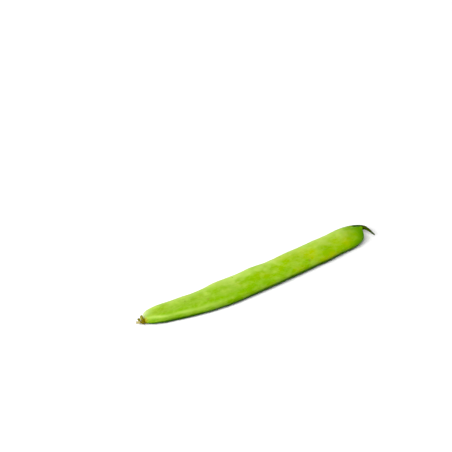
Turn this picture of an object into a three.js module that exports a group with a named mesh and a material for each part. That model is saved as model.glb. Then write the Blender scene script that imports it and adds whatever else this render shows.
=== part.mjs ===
// A flat green bean (broad "romano" pod of Phaseolus vulgaris), as picked, lying on one face.
// Millimetres, +Z up. +X runs from the stalk to the beak, +Y to the ventral suture.
// Z = 0 is the surface that the pod lies on, and the origin is the middle of its footprint.
import * as THREE from 'three';

// ---------------------------------------------------------------- driving dimensions
const SHIFT_X = -98.9923;        // moves the drawn outline so that the origin is its middle
const SHIFT_Y = 2.8431;
const REST_SOFT = 0.25;          // how softly the underside rounds into its resting flats
const RIB_HEIGHT = 0.30;         // twin ribs along the ventral suture
const RIB_OFFSET = 0.95;         // their distance from the suture line
const GROOVE_DEPTH = 0.22;       // the groove between them
const DORSAL_RIB = 0.14;         // single low rib along the dorsal suture
const SHOULDER = 0.6;            // how much squarer the section is on its dorsal side

// Outline of the pod seen from above: ventral edge (x, y) and dorsal edge (x, y), station by
// station, from the neck at the stalk, along the body, to the tip of the hooked beak.
const OUTLINE = [
  [-2.3, 0.55, -2.3, -1.45],
  [-1.6, 0.60, -1.5, -1.5],
  [-0.98, 1.05, -0.85, -1.95],
  [-0.56, 2.3, -0.2, -2.7],
  [-0.25, 4.05, 0.9, -3.5],
  [0.5, 5.75, 2.5, -4.6],
  [2.3, 7.05, 4.6, -5.8],
  [5.6, 7.95, 8.0, -7.15],
  [11.0, 8.3, 12.5, -8.65],
  [17.0, 7.8, 18.5, -9.8],
  [25.0, 6.9, 26.0, -11.5],
  [35.0, 6.2, 35.5, -13.5],
  [46.0, 5.5, 46.0, -15.4],
  [58.0, 6.6, 58.0, -16.5],
  [70.0, 7.0, 70.0, -16.9],
  [82.0, 6.6, 82.0, -16.5],
  [94.0, 7.5, 94.0, -16.2],
  [106.0, 6.6, 106.0, -15.8],
  [118.0, 7.3, 118.0, -15.0],
  [130.0, 8.1, 130.0, -14.4],
  [142.0, 8.5, 142.0, -13.5],
  [154.0, 9.4, 154.0, -12.9],
  [165.0, 9.7, 164.5, -11.8],
  [174.5, 10.8, 173.0, -10.9],
  [182.0, 11.1, 180.5, -10.4],
  [188.0, 10.7, 187.0, -9.3],
  [192.6, 9.8, 192.4, -7.2],
  [196.2, 9.0, 196.0, -3.8],
  [198.6, 8.15, 198.0, 0.2],
  [200.6, 7.1, 199.2, 2.8],
  [202.5, 5.4, 200.7, 2.5],
  [203.8, 3.1, 201.8, 1.2],
  [204.6, 0.6, 202.7, -0.6],
  [205.0, -1.9, 203.4, -2.7],
  [205.3, -4.1, 204.0, -4.7],
  [205.5, -5.9, 204.9, -6.1],
];

// Profiles along x: [x, value]
const HALF_THICKNESS = [[-2.3, 1.0], [-1.5, 1.05], [-0.9, 1.4], [-0.2, 1.9], [0.7, 2.4], [2, 2.9],
  [4, 3.35], [7, 3.8], [11, 4.15], [18, 4.45], [28, 4.6], [50, 4.75], [90, 4.8], [150, 4.75],
  [172, 4.6], [180, 4.4], [186, 4.05], [191, 3.6], [195, 3.0], [198, 2.35], [199.9, 1.95],
  [201.6, 1.6], [202.8, 1.35], [203.65, 1.1], [204.2, 0.88], [204.7, 0.62], [205.2, 0.34]];
const AXIS_HEIGHT = [[-2.3, 2.95], [-0.9, 2.95], [0.5, 2.95], [3, 3.12], [7, 3.5], [12, 3.7], [20, 3.85],
  [35, 4.15], [45, 4.25], [60, 4.4], [80, 4.45], [100, 4.55], [125, 4.62], [150, 4.65], [165, 4.6],
  [180, 4.5], [190, 4.6], [196, 4.7], [199.9, 4.85], [201.6, 5.05], [202.8, 4.85], [203.65, 4.4],
  [204.2, 3.95], [204.7, 3.5], [205.2, 3.2]];
const ROLL_DEG = [[-2.3, 0], [10, 0], [40, 1.2], [90, 4], [140, 7], [196, 8.5], [205.5, 8]];
const ROUNDNESS = [[-2.3, 2], [-0.5, 2], [6, 2.25], [16, 2.5], [40, 2.6], [180, 2.5], [192, 2.3],
  [199, 2], [205.5, 2]];
const HOLLOW = [[-2.3, 0], [0, 0], [5, 0.03], [11, 0.10], [34, 0.09], [60, 0.02], [185, 0.02], [193, 0],
  [205.5, 0]];
// Seeds felt through the valves: [x, height of the bulge, half length of the bulge]
const SEEDS = [[32, 0.5, 8.5], [62, 0.75, 9.5], [94.5, 0.8, 9.5], [125, 0.8, 9.5], [153, 0.7, 9.5],
  [177, 0.45, 8.0]];

// Calyx, stalk and bracts: where they sit behind the neck
const STALK_AXIS = new THREE.Vector3(-1, 0.26, 0.16).normalize();
const CUP_CENTRE = new THREE.Vector3(-1.48, -0.45, 2.95);   // middle of the calyx mouth
const CUP_INNER = 1.40;          // mouth radius, 0.3 clear of the neck
const CUP_LENGTH = 2.5;
const STALK_LENGTH = 2.9;
const STALK_RADIUS = 1.0;

// ---------------------------------------------------------------- curves
// Natural cubic spline through evenly numbered knots.
function naturalSpline(y) {
  const n = y.length;
  const m = new Array(n).fill(0), cp = new Array(n).fill(0), dp = new Array(n).fill(0);
  for (let i = 1; i < n - 1; i++) {
    const r = 6 * (y[i + 1] - 2 * y[i] + y[i - 1]);
    const den = 4 - cp[i - 1];
    cp[i] = 1 / den;
    dp[i] = (r - dp[i - 1]) / den;
  }
  for (let i = n - 2; i > 0; i--) m[i] = dp[i] - cp[i] * m[i + 1];
  return (t) => {
    const tt = Math.min(Math.max(t, 0), n - 1);
    const i = Math.min(Math.floor(tt), n - 2), u = tt - i, w = 1 - u;
    return w * y[i] + u * y[i + 1] + (w ** 3 - w) * m[i] / 6 + (u ** 3 - u) * m[i + 1] / 6;
  };
}

// Monotone cubic through [x, value] pairs, so a profile never overshoots.
function profile(pairs) {
  const x = pairs.map((p) => p[0]), y = pairs.map((p) => p[1]), n = x.length;
  const h = [], s = [], d = new Array(n).fill(0);
  for (let i = 0; i < n - 1; i++) { h.push(x[i + 1] - x[i]); s.push((y[i + 1] - y[i]) / h[i]); }
  for (let i = 1; i < n - 1; i++) {
    if (s[i - 1] * s[i] > 0) {
      const w1 = 2 * h[i] + h[i - 1], w2 = h[i] + 2 * h[i - 1];
      d[i] = (w1 + w2) / (w1 / s[i - 1] + w2 / s[i]);
    }
  }
  d[0] = s[0];
  d[n - 1] = s[n - 2];
  return (v) => {
    const q = Math.min(Math.max(v, x[0]), x[n - 1]);
    let i = 0;
    while (i < n - 2 && q > x[i + 1]) i++;
    const t = (q - x[i]) / h[i], t2 = t * t, t3 = t2 * t;
    return (2 * t3 - 3 * t2 + 1) * y[i] + (t3 - 2 * t2 + t) * h[i] * d[i]
      + (3 * t2 - 2 * t3) * y[i + 1] + (t3 - t2) * h[i] * d[i + 1];
  };
}

const smooth = (a, b, v) => { const t = Math.min(Math.max((v - a) / (b - a), 0), 1); return t * t * (3 - 2 * t); };
const bell = (v, w) => Math.exp(-((v / w) ** 2));

// ---------------------------------------------------------------- the pod's surface
const edge = [0, 1, 2, 3].map((k) => naturalSpline(OUTLINE.map((row) => row[k])));
const halfThickness = profile(HALF_THICKNESS), axisHeight = profile(AXIS_HEIGHT), roll = profile(ROLL_DEG);
const roundness = profile(ROUNDNESS), hollow = profile(HOLLOW);

// One cross-section: station t along the pod, angles from the ventral edge over the top face.
function section(t, angles) {
  const v = new THREE.Vector2(edge[0](t), edge[1](t)), d = new THREE.Vector2(edge[2](t), edge[3](t));
  const c = v.clone().add(d).multiplyScalar(0.5), across = v.clone().sub(d);
  const a = across.length() / 2;
  across.normalize();
  const x = c.x, beak = smooth(199, 201.5, x);
  const b0 = halfThickness(x), b = b0 * (1 - beak) + Math.min(b0, a * 0.95) * beak;
  const nVentral = roundness(x), nDorsal = nVentral + SHOULDER * smooth(2, 20, x) * (1 - smooth(186, 197, x));
  const sag = hollow(x), r = THREE.MathUtils.degToRad(roll(x)), z0 = axisHeight(x);
  const rib = smooth(1, 9, x) * (1 - smooth(188, 199, x));
  return angles.map((th) => {
    const ct = Math.cos(th), st = Math.sin(th), n = ct < 0 ? nDorsal : nVentral;
    const p = Math.sign(ct) * Math.abs(ct) ** (2 / n);
    let q = Math.sign(st) * Math.abs(st) ** (2 / n);
    q *= 1 - sag * bell(p, 0.5);
    let A = p * a, B = q * b;
    // suture ribs, on the edge itself
    if (ct > 0) A += rib * smooth(0.3, 0.8, ct) * (RIB_HEIGHT * bell(Math.abs(B) - RIB_OFFSET, 0.45) - GROOVE_DEPTH * bell(B, 0.35));
    else A -= rib * smooth(0.3, 0.8, -ct) * DORSAL_RIB * bell(B, 0.55);
    for (const [xs, height, length] of SEEDS) {
      const g = height * bell(x - xs, length) * bell(p - 0.08, 0.55);
      B += g * Math.sign(st) * Math.min(1, Math.abs(st) * 2.2) * (st > 0 ? 1 : 0.55);
    }
    const off = A * Math.cos(r) - B * Math.sin(r);
    let z = z0 + A * Math.sin(r) + B * Math.cos(r);
    // the underside is pressed to a flat where the pod bears on the surface
    if (z <= -REST_SOFT) z = 0;
    else if (z < REST_SOFT) z = (z + REST_SOFT) ** 2 / (4 * REST_SOFT);
    return new THREE.Vector3(c.x + across.x * off, c.y + across.y * off, z);
  });
}

// ---------------------------------------------------------------- closed skins from rings
// Rings of points are joined by a strip that follows their angles, so two neighbouring rings
// may hold different numbers of points. Both ends are closed with a fan.
function skin(rings, flip = false) {
  const pos = [], idx = [];
  const start = rings.map((ring) => {
    const s = pos.length / 3;
    ring.points.forEach((p) => pos.push(p.x, p.y, p.z));
    return s;
  });
  const tri = (a, b, c) => (flip ? idx.push(a, c, b) : idx.push(a, b, c));
  for (let k = 0; k < rings.length - 1; k++) {
    const A = rings[k], B = rings[k + 1], na = A.points.length, nb = B.points.length;
    let i = 0, j = 0;
    while (i < na || j < nb) {
      const nextA = i < na ? (i + 1 < na ? A.angles[i + 1] : A.angles[0] + 2 * Math.PI) : Infinity;
      const nextB = j < nb ? (j + 1 < nb ? B.angles[j + 1] : B.angles[0] + 2 * Math.PI) : Infinity;
      const a = start[k] + (i % na), b = start[k + 1] + (j % nb);
      // equal steps advance together as one quad, split the same way along the whole skin
      if (Math.abs(nextA - nextB) < 1e-9) {
        const a2 = start[k] + ((i + 1) % na), b2 = start[k + 1] + ((j + 1) % nb);
        tri(a, a2, b2);
        tri(a, b2, b);
        i++;
        j++;
      } else if (nextA < nextB) {
        tri(a, start[k] + ((i + 1) % na), b);
        i++;
      } else {
        tri(a, start[k + 1] + ((j + 1) % nb), b);
        j++;
      }
    }
  }
  const cap = (k, reverse) => {
    const ring = rings[k], n = ring.points.length, c = pos.length / 3;
    const mid = ring.cap ?? ring.points.reduce((s, p) => s.add(p), new THREE.Vector3()).divideScalar(n);
    pos.push(mid.x, mid.y, mid.z);
    for (let i = 0; i < n; i++) {
      const p = start[k] + i, q = start[k] + ((i + 1) % n);
      if (reverse) tri(c, q, p); else tri(c, p, q);
    }
  };
  cap(0, true);
  cap(rings.length - 1, false);
  const geometry = new THREE.BufferGeometry();
  geometry.setAttribute('position', new THREE.Float32BufferAttribute(pos, 3));
  geometry.setIndex(idx);
  // faces point out: a negative volume means that the winding runs the other way
  let volume = 0;
  const A = new THREE.Vector3(), B = new THREE.Vector3(), C = new THREE.Vector3();
  const P = geometry.getAttribute('position');
  for (let f = 0; f < idx.length; f += 3) {
    A.fromBufferAttribute(P, idx[f]);
    B.fromBufferAttribute(P, idx[f + 1]);
    C.fromBufferAttribute(P, idx[f + 2]);
    volume += A.dot(B.cross(C)) / 6;
  }
  if (volume < 0) {
    for (let f = 0; f < idx.length; f += 3) { const s = idx[f + 1]; idx[f + 1] = idx[f + 2]; idx[f + 2] = s; }
    geometry.setIndex(idx);
  }
  geometry.computeVertexNormals();
  return geometry;
}

// ---------------------------------------------------------------- pod
const ARC = 1.25;                // section exponent used to space the points
const byHeight = (q) => Math.asin(q ** ARC);
const byWidth = (p) => Math.acos(p ** ARC);
const topHalf = [0, byHeight(0.095), byHeight(0.2), byHeight(0.34), byHeight(0.55), byWidth(0.72), byWidth(0.48),
  byWidth(0.24), Math.PI / 2, Math.PI - byWidth(0.24), Math.PI - byWidth(0.48), Math.PI - byWidth(0.72),
  Math.PI - byHeight(0.5), Math.PI - byHeight(0.24), Math.PI - byHeight(0.1), Math.PI];
const FULL = [...topHalf, ...topHalf.slice(1, -1).reverse().map((v) => 2 * Math.PI - v)];
const EIGHT = Array.from({ length: 8 }, (_, i) => i * Math.PI / 4);
const TWELVE = Array.from({ length: 12 }, (_, i) => i * Math.PI / 6);

const stations = [];
const addStations = (from, to, perStation) => {
  for (let i = 0; i < Math.round((to - from) * perStation); i++) stations.push(from + i / perStation);
};
addStations(0, 9, 3);
addStations(9, 25, 5);
addStations(25, 29, 4);
addStations(29, 35, 3);
stations.push(35);

const podRings = stations.map((t) => {
  const angles = t < 1.5 || (t > 31.2 && t < 33.4) ? TWELVE : t >= 33.4 ? EIGHT : FULL;
  return { angles, points: section(t, angles) };
});
{ // the beak ends in a small rounded point
  const last = podRings[podRings.length - 1], prev = podRings[podRings.length - 2];
  const mid = (r) => r.points.reduce((s, p) => s.add(p), new THREE.Vector3()).divideScalar(r.points.length);
  const m = mid(last), dir = m.clone().sub(mid(prev)).normalize();
  last.cap = m.clone().addScaledVector(dir, 0.35);
}

// ---------------------------------------------------------------- calyx: a dried cup with five lobes
const stalkFrame = new THREE.Matrix4().makeTranslation(CUP_CENTRE.x, CUP_CENTRE.y, CUP_CENTRE.z)
  .multiply(new THREE.Matrix4().makeRotationFromQuaternion(
    new THREE.Quaternion().setFromUnitVectors(new THREE.Vector3(0, 0, 1), new THREE.Vector3(-1, 0.1, 0.04).normalize())));
const CUP_STEPS = 20;
const cupAngles = Array.from({ length: CUP_STEPS }, (_, i) => i * 2 * Math.PI / CUP_STEPS);
const lobe = (a) => Math.max(0, Math.cos(2.5 * a)) ** 2 + Math.max(0, -Math.cos(2.5 * a)) ** 2; // five peaks in a turn
const cupRing = (r, z, rLobe = 0, zLobe = 0) => ({
  angles: cupAngles,
  points: cupAngles.map((a) => {
    const k = lobe(a);
    return new THREE.Vector3((r + rLobe * k) * Math.cos(a), (r + rLobe * k) * Math.sin(a), z + zLobe * k).applyMatrix4(stalkFrame);
  }),
});
const calyxRings = [
  cupRing(CUP_INNER - 0.40, 1.35),
  cupRing(CUP_INNER, 1.2),
  cupRing(CUP_INNER, 0.35),
  cupRing(CUP_INNER + 0.08, 0.0, 0.75, -0.05),
  cupRing(CUP_INNER + 0.28, 0.06, 0.8, -0.02),
  cupRing(CUP_INNER + 0.42, 0.45, 0.35, 0.05),
  cupRing(CUP_INNER + 0.34, 1.0, 0.1),
  cupRing(CUP_INNER + 0.12, 1.55),
  cupRing(CUP_INNER - 0.2, CUP_LENGTH - 0.45),
  cupRing(CUP_INNER - 0.5, CUP_LENGTH),
];

// ---------------------------------------------------------------- stalk stub, snapped off
const stalkBase = new THREE.Vector3(0, 0, CUP_LENGTH + 0.35).applyMatrix4(stalkFrame);
const side = new THREE.Vector3(0, 0, 1).cross(STALK_AXIS).normalize(), up = STALK_AXIS.clone().cross(side);
const stalkRing = (s, radius, tilt = 0) => ({
  angles: TWELVE,
  points: TWELVE.map((a) => stalkBase.clone()
    .addScaledVector(STALK_AXIS, s + tilt * Math.cos(a))
    .addScaledVector(side, radius * Math.cos(a) - 0.05 * s * s)
    .addScaledVector(up, radius * Math.sin(a) * 0.9)),
});
const stalkRings = [
  stalkRing(0.1, 0.78),
  stalkRing(0.4, STALK_RADIUS),
  stalkRing(1.0, STALK_RADIUS * 0.92),
  stalkRing(1.7, STALK_RADIUS * 0.86),
  stalkRing(2.4, STALK_RADIUS * 0.9, 0.1),
  stalkRing(STALK_LENGTH, STALK_RADIUS * 0.97, 0.3),
];

// ---------------------------------------------------------------- bracts: small dried leaves
function bract(base, tip, bow, width, thickness, twist) {
  const along = tip.clone().sub(base);
  const flat = new THREE.Vector3(Math.cos(twist), Math.sin(twist), 0);
  flat.addScaledVector(along, -flat.dot(along) / along.lengthSq()).normalize();
  const face = along.clone().normalize().cross(flat);
  const widths = [0.45, 0.8, 1.0, 0.86, 0.55, 0.22];
  const rings = widths.map((w, i) => {
    const s = i / (widths.length - 1);
    const c = base.clone().addScaledVector(along, s).addScaledVector(bow, Math.sin(Math.PI * s));
    return {
      angles: EIGHT,
      points: EIGHT.map((a) => c.clone()
        .addScaledVector(flat, w * width / 2 * Math.cos(a))
        .addScaledVector(face, thickness / 2 * Math.sin(a) * (0.55 + 0.45 * w))),
    };
  });
  return skin(rings);
}
const onCup = (angle, r, z) => new THREE.Vector3(r * Math.cos(angle), r * Math.sin(angle), z).applyMatrix4(stalkFrame);

// ---------------------------------------------------------------- assembly
const material = (color, roughness) => new THREE.MeshStandardMaterial({ color, roughness, metalness: 0 });
const freshGreen = material(0x8ebe1f, 0.45);
const dryBrown = material(0x8a6f24, 0.8);
const paleStraw = material(0xb9a768, 0.85);

const bean = new THREE.Group();
bean.name = 'green_bean';
const add = (name, geometry, mat) => {
  const mesh = new THREE.Mesh(geometry, mat);
  mesh.name = name;
  mesh.position.set(SHIFT_X, SHIFT_Y, 0);
  bean.add(mesh);
};
add('pod', skin(podRings), freshGreen);
add('calyx', skin(calyxRings), dryBrown);
add('pedicel', skin(stalkRings), paleStraw);
add('bracteole_upper', bract(onCup(0.3, 2.16, 1.5), new THREE.Vector3(-2.0, 2.7, 7.4), new THREE.Vector3(0.1, 0.05, 0.05), 2.1, 0.45, -0.35), dryBrown);
add('bracteole_rear', bract(onCup(0.95, 1.85, 2.05), new THREE.Vector3(-5.6, 1.9, 5.8), new THREE.Vector3(0.1, 0.2, 0.3), 1.9, 0.45, 0.3), dryBrown);

export default bean;
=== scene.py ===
import math

import bpy
import numpy as np
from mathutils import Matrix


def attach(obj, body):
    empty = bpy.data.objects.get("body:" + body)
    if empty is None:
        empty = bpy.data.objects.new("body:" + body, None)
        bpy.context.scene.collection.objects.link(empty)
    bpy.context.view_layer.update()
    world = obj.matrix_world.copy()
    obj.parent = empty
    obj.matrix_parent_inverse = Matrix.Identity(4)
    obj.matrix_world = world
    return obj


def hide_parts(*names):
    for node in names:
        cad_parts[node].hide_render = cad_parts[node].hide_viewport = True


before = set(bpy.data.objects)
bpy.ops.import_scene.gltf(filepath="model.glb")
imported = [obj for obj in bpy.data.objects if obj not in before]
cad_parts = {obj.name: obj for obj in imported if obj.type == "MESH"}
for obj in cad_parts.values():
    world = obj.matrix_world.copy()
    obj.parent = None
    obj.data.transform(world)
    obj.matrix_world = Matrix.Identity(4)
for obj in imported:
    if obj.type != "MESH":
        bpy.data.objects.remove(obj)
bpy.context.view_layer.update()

# ------------------------------------------------------------------ the bean's own dimensions
# Millimetres, in the frame that the outline is drawn in; SHIFT moves it so that the row's
# origin is the middle of the footprint. MM turns millimetres into metres.
MM = 0.001
SHIFT = np.array([-98.9923, 2.8431, 0.0])

OUTLINE = np.array([
    [-2.3, 0.55, -2.3, -1.45], [-1.6, 0.60, -1.5, -1.5], [-0.98, 1.05, -0.85, -1.95],
    [-0.56, 2.3, -0.2, -2.7], [-0.25, 4.05, 0.9, -3.5], [0.5, 5.75, 2.5, -4.6],
    [2.3, 7.05, 4.6, -5.8], [5.6, 7.95, 8.0, -7.15], [11.0, 8.3, 12.5, -8.65],
    [17.0, 7.8, 18.5, -9.8], [25.0, 6.9, 26.0, -11.5], [35.0, 6.2, 35.5, -13.5],
    [46.0, 5.5, 46.0, -15.4], [58.0, 6.6, 58.0, -16.5], [70.0, 7.0, 70.0, -16.9],
    [82.0, 6.6, 82.0, -16.5], [94.0, 7.5, 94.0, -16.2], [106.0, 6.6, 106.0, -15.8],
    [118.0, 7.3, 118.0, -15.0], [130.0, 8.1, 130.0, -14.4], [142.0, 8.5, 142.0, -13.5],
    [154.0, 9.4, 154.0, -12.9], [165.0, 9.7, 164.5, -11.8], [174.5, 10.8, 173.0, -10.9],
    [182.0, 11.1, 180.5, -10.4], [188.0, 10.7, 187.0, -9.3], [192.6, 9.8, 192.4, -7.2],
    [196.2, 9.0, 196.0, -3.8], [198.6, 8.15, 198.0, 0.2], [200.6, 7.1, 199.2, 2.8],
    [202.5, 5.4, 200.7, 2.5], [203.8, 3.1, 201.8, 1.2], [204.6, 0.6, 202.7, -0.6],
    [205.0, -1.9, 203.4, -2.7], [205.3, -4.1, 204.0, -4.7], [205.5, -5.9, 204.9, -6.1]])
HALF_THICKNESS = [(-2.3, 1.0), (-1.5, 1.05), (-0.9, 1.4), (-0.2, 1.9), (0.7, 2.4), (2, 2.9),
    (4, 3.35), (7, 3.8), (11, 4.15), (18, 4.45), (28, 4.6), (50, 4.75), (90, 4.8), (150, 4.75),
    (172, 4.6), (180, 4.4), (186, 4.05), (191, 3.6), (195, 3.0), (198, 2.35), (199.9, 1.95),
    (201.6, 1.6), (202.8, 1.35), (203.65, 1.1), (204.2, 0.88), (204.7, 0.62), (205.2, 0.34)]
AXIS_HEIGHT = [(-2.3, 2.95), (-0.9, 2.95), (0.5, 2.95), (3, 3.12), (7, 3.5), (12, 3.7), (20, 3.85),
    (35, 4.15), (45, 4.25), (60, 4.4), (80, 4.45), (100, 4.55), (125, 4.62), (150, 4.65), (165, 4.6),
    (180, 4.5), (190, 4.6), (196, 4.7), (199.9, 4.85), (201.6, 5.05), (202.8, 4.85), (203.65, 4.4),
    (204.2, 3.95), (204.7, 3.5), (205.2, 3.2)]
ROLL_DEG = [(-2.3, 0), (10, 0), (40, 1.2), (90, 4), (140, 7), (196, 8.5), (205.5, 8)]
ROUNDNESS = [(-2.3, 2), (-0.5, 2), (6, 2.25), (16, 2.5), (40, 2.6), (180, 2.5), (192, 2.3),
    (199, 2), (205.5, 2)]
SHOULDER = 0.6      # the dorsal side of the section is this much squarer than the ventral side
HOLLOW = [(-2.3, 0), (0, 0), (5, 0.03), (11, 0.10), (34, 0.09), (60, 0.02), (185, 0.02), (193, 0),
    (205.5, 0)]
# seeds felt through the valves: x, height of the bulge, half length of the bulge
SEEDS = [(32, 0.5, 8.5), (62, 0.75, 9.5), (94.5, 0.8, 9.5), (125, 0.8, 9.5), (153, 0.7, 9.5),
    (177, 0.45, 8.0)]
REST_SOFT = 0.25
RIB_HEIGHT, RIB_OFFSET, GROOVE_DEPTH, DORSAL_RIB = 0.30, 0.95, 0.22, 0.14

CUP_CENTRE = np.array([-1.48, -0.45, 2.95])
CUP_AXIS = np.array([-1.0, 0.1, 0.04])
CUP_INNER, CUP_LENGTH = 1.40, 2.5
STALK_AXIS = np.array([-1.0, 0.26, 0.16])
STALK_LENGTH = 2.9


# ------------------------------------------------------------------ curves and noise
def natural_spline(y):
    y = np.asarray(y, float)
    n = len(y)
    m, cp, dp = np.zeros(n), np.zeros(n), np.zeros(n)
    for i in range(1, n - 1):
        r = 6 * (y[i + 1] - 2 * y[i] + y[i - 1])
        den = 4 - cp[i - 1]
        cp[i] = 1 / den
        dp[i] = (r - dp[i - 1]) / den
    for i in range(n - 2, 0, -1):
        m[i] = dp[i] - cp[i] * m[i + 1]

    def f(t):
        t = np.clip(np.asarray(t, float), 0, n - 1)
        i = np.minimum(t.astype(int), n - 2)
        u = t - i
        w = 1 - u
        return w * y[i] + u * y[i + 1] + (w ** 3 - w) * m[i] / 6 + (u ** 3 - u) * m[i + 1] / 6
    return f


def profile(pairs):
    """Monotone cubic through (x, value) pairs, so that a profile never overshoots."""
    x = np.array([p[0] for p in pairs], float)
    y = np.array([p[1] for p in pairs], float)
    h, n = np.diff(x), len(x)
    s = np.diff(y) / h
    d = np.zeros(n)
    for i in range(1, n - 1):
        if s[i - 1] * s[i] > 0:
            w1, w2 = 2 * h[i] + h[i - 1], h[i] + 2 * h[i - 1]
            d[i] = (w1 + w2) / (w1 / s[i - 1] + w2 / s[i])
    d[0], d[-1] = s[0], s[-1]

    def f(v):
        q = np.clip(np.asarray(v, float), x[0], x[-1])
        i = np.clip(np.searchsorted(x, q, side="left") - 1, 0, n - 2)
        t = (q - x[i]) / h[i]
        t2, t3 = t * t, t ** 3
        return ((2 * t3 - 3 * t2 + 1) * y[i] + (t3 - 2 * t2 + t) * h[i] * d[i]
                + (3 * t2 - 2 * t3) * y[i + 1] + (t3 - t2) * h[i] * d[i + 1])
    return f


def smooth(a, b, v):
    t = np.clip((v - a) / (b - a), 0, 1)
    return t * t * (3 - 2 * t)


def bell(v, w):
    return np.exp(-(v / w) ** 2)


def unit(v):
    v = np.asarray(v, float)
    return v / np.linalg.norm(v)


_perm = np.random.RandomState(7).permutation(256)
_perm = np.concatenate([_perm, _perm, _perm])
_grad = np.random.RandomState(11).normal(size=(256, 3))
_grad /= np.linalg.norm(_grad, axis=1)[:, None]


def noise(p, seed=0):
    """Gradient noise, about -1 to 1, at points p (..., 3) in feature lengths."""
    p = np.asarray(p, float) + 37.3 * seed
    i = np.floor(p).astype(int)
    f = p - i
    u = f * f * f * (f * (f * 6 - 15) + 10)
    i &= 255
    out = 0.0
    for dx in (0, 1):
        for dy in (0, 1):
            for dz in (0, 1):
                g = _grad[_perm[_perm[_perm[(i[..., 0] + dx) & 255] + ((i[..., 1] + dy) & 255)] + ((i[..., 2] + dz) & 255)]]
                d = np.stack([f[..., 0] - dx, f[..., 1] - dy, f[..., 2] - dz], -1)
                w = (u[..., 0] if dx else 1 - u[..., 0]) * (u[..., 1] if dy else 1 - u[..., 1]) * (u[..., 2] if dz else 1 - u[..., 2])
                out = out + w * (g * d).sum(-1)
    return out * 1.6


# ------------------------------------------------------------------ mesh helpers
def grid_normals(P, closed=True):
    """Outward-pointing normals of a grid of points (rows, columns, 3) that closes round its columns."""
    du = np.gradient(P, axis=0)
    dv = (np.roll(P, -1, 1) - np.roll(P, 1, 1)) if closed else np.gradient(P, axis=1)
    n = np.cross(dv, du)
    n /= np.maximum(np.linalg.norm(n, axis=-1, keepdims=True), 1e-12)
    mid = P.mean(1, keepdims=True)
    if ((P - mid) * n).sum(-1).mean() < 0:
        n = -n
    return n


def tube_mesh(name, P, attrs=None, cap_start=True, cap_end=True):
    """A closed skin from rings P (rows, columns, 3) in millimetres, with point attributes."""
    rows, cols = P.shape[:2]
    verts = P.reshape(-1, 3)
    r, c = np.meshgrid(np.arange(rows - 1), np.arange(cols), indexing="ij")
    a = r * cols + c
    b = r * cols + (c + 1) % cols
    quads = np.stack([a, b, b + cols, a + cols], -1).reshape(-1, 4)
    faces = quads.tolist()
    extra = []
    if cap_start:
        k = len(verts) + len(extra)
        extra.append(P[0].mean(0))
        faces += [[k, (j + 1) % cols, j] for j in range(cols)]
    if cap_end:
        k = len(verts) + len(extra)
        base = (rows - 1) * cols
        extra.append(P[-1].mean(0))
        faces += [[k, base + j, base + (j + 1) % cols] for j in range(cols)]
    verts = np.vstack([verts] + [e[None] for e in extra]) if extra else verts
    mesh = bpy.data.meshes.new(name)
    mesh.from_pydata(((verts + SHIFT) * MM).tolist(), [], faces)
    mesh.update()
    # outward faces
    vol = 0.0
    V = verts
    q = quads
    vol += np.einsum("ij,ij->i", V[q[:, 0]], np.cross(V[q[:, 1]], V[q[:, 2]])).sum()
    vol += np.einsum("ij,ij->i", V[q[:, 0]], np.cross(V[q[:, 2]], V[q[:, 3]])).sum()
    if vol < 0:
        mesh.flip_normals()
    for key, values in (attrs or {}).items():
        flat = np.asarray(values, float).reshape(-1)
        tail = []
        if cap_start:
            tail.append(flat[:cols].mean())
        if cap_end:
            tail.append(flat[-cols:].mean())
        flat = np.concatenate([flat, tail])
        at = mesh.attributes.new(key, "FLOAT", "POINT")
        at.data.foreach_set("value", flat.astype(np.float32))
    mesh.polygons.foreach_set("use_smooth", np.ones(len(mesh.polygons), dtype=bool))
    obj = bpy.data.objects.new(name, mesh)
    bpy.context.scene.collection.objects.link(obj)
    return obj


# ------------------------------------------------------------------ the pod
edge = [natural_spline(OUTLINE[:, k]) for k in range(4)]
half_thickness, axis_height, roll = profile(HALF_THICKNESS), profile(AXIS_HEIGHT), profile(ROLL_DEG)
roundness, hollow = profile(ROUNDNESS), profile(HOLLOW)


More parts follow.
